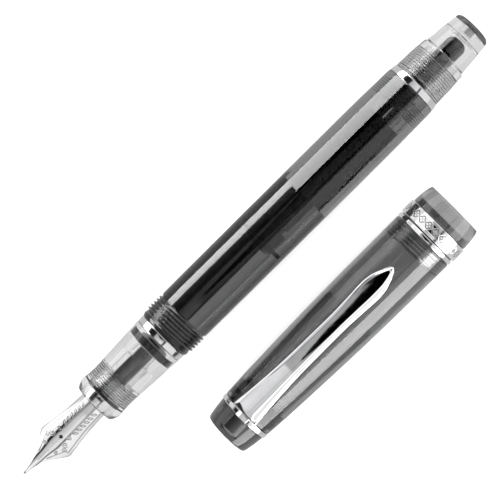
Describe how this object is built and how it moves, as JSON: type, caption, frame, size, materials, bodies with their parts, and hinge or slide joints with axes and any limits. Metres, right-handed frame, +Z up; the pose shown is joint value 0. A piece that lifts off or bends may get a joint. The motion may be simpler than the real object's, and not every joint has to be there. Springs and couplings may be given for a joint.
{
  "type": "fountain pen",
  "caption": "Piston-filling fountain pen with a see-through barrel and grip, lying uncapped beside its threaded cap with a spring clip.",
  "frame": {"origin": "bottom centre of the bounding box of the pen and its cap lying side by side on a table", "axes": "+X along the pen from nib to turning knob, +Y from the cap to the pen, +Z up"},
  "size_m": [0.127, 0.0366, 0.015],
  "materials": {
    "smoke_plastic": "transparent smoke grey, polished",
    "clear_plastic": "colourless transparent, polished",
    "dark_smoke_plastic": "darker transparent smoke, polished",
    "frosted_plastic": "pale grey translucent",
    "chrome": "mirror polished plating",
    "rhodium": "polished plating over gold, engraved",
    "black_rubber": "black sealing ring",
    "grey_seal": "dark grey seal, matte",
    "black_feed": "black moulded plastic"
  },
  "bodies": {
    "barrel": {"nib": "rhodium", "feed": "black_feed", "nib_collar": "clear_plastic", "nib_oring": "black_rubber", "section": "clear_plastic", "section_seal": "grey_seal", "section_ring": "chrome", "barrel": "smoke_plastic", "guide_sleeve": "smoke_plastic", "rear_housing": "clear_plastic", "tail_ring": "chrome"},
    "piston": {"piston_seal": "grey_seal", "piston_head": "smoke_plastic", "piston_rod": "smoke_plastic"},
    "spindle_ring": {"spindle_oring": "grey_seal"},
    "knob": {"spindle": "clear_plastic", "knob": "clear_plastic", "knob_plug": "clear_plastic", "knob_disc": "dark_smoke_plastic"},
    "cap": {"cap_shell": "smoke_plastic", "cap_liner": "smoke_plastic", "cap_gasket": "grey_seal", "cap_washer": "frosted_plastic", "finial": "dark_smoke_plastic", "finial_screw": "chrome", "clip_ring": "chrome", "cap_thin_ring": "chrome", "cap_band": "chrome", "cap_lip": "frosted_plastic"},
    "clip": {"clip": "chrome"}
  },
  "joints": [
    {"name": "knob_rise", "type": "slide", "parent": "barrel", "child": "spindle_ring", "axis": [1, 0, 0], "range_m": [0, 0.003]},
    {"name": "knob_turn", "type": "hinge", "parent": "spindle_ring", "child": "knob", "pos_m": [0.055, 0.01203, 0.00626], "axis": [1, 0, 0], "range_deg": [0, 2040]},
    {"name": "piston_slide", "type": "slide", "parent": "barrel", "child": "piston", "axis": [-1, 0, 0], "range_m": [0, 0.0187]},
    {"name": "cap_slide", "type": "slide", "parent": "barrel", "child": "cap", "axis": [1, 0, 0], "range_m": [-0.11, 0]},
    {"name": "clip_flex", "type": "hinge", "parent": "cap", "child": "clip", "pos_m": [-0.02444, -0.01038, 0.01245], "axis": [-0.002, -0.9962, 0.0871], "range_deg": [0, 3], "stiffness_Nm_per_rad": 0.2}
  ],
  "couplings": [
    {"joint": "knob_turn", "follows": "piston_slide", "rad_per_m": 1904},
    {"joint": "knob_rise", "follows": "piston_slide", "ratio": 0.16061}
  ]
}
